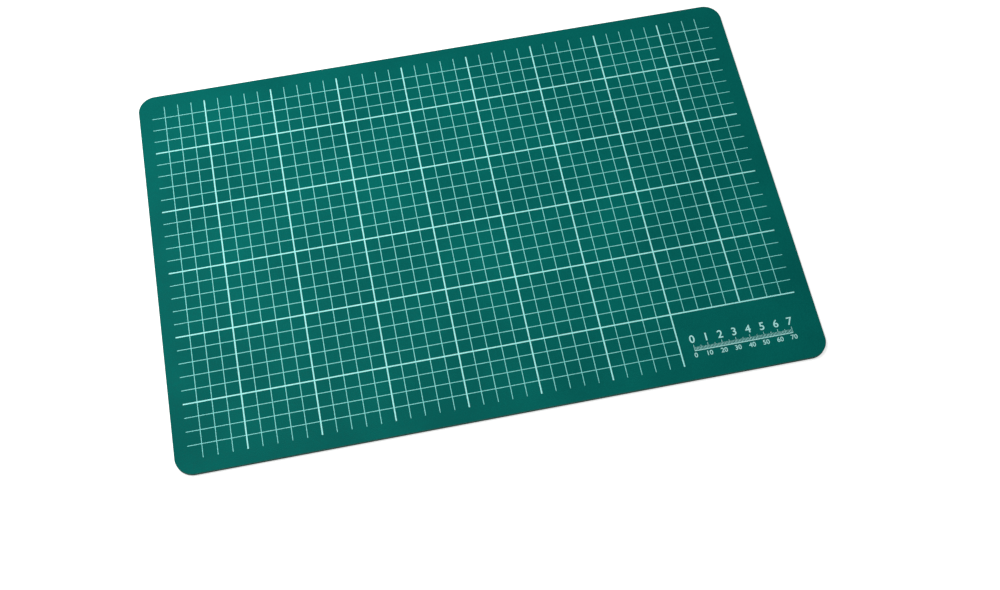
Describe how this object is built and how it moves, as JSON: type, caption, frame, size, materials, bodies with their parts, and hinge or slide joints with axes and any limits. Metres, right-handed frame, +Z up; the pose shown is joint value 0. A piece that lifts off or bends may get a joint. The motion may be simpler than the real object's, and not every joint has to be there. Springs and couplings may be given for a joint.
{
  "type": "craft cutting mat",
  "caption": "Flat rounded rectangular cutting mat of bonded green plies, with a white centimetre grid printed on its top face.",
  "frame": {"origin": "middle of the underside, which lies on the table", "axes": "+X along the long side, to the right of someone at the mat, with the unruled panel in the front right corner; +Y away from them; +Z up, out of the printed face"},
  "size_m": [0.45, 0.3, 0.0032],
  "materials": {
    "green_pvc": "matte",
    "inner_pvc": "matte",
    "core_pvc": "matte",
    "white_ink": "satin"
  },
  "bodies": {
    "root": {"bottom_sheet": "green_pvc", "lower_inner_sheet": "inner_pvc", "core_sheet": "core_pvc", "upper_inner_sheet": "inner_pvc", "top_sheet": "green_pvc", "fine_lines_lengthwise": "white_ink", "fine_lines_crosswise": "white_ink", "bold_lines": "white_ink"}
  },
  "joints": []
}
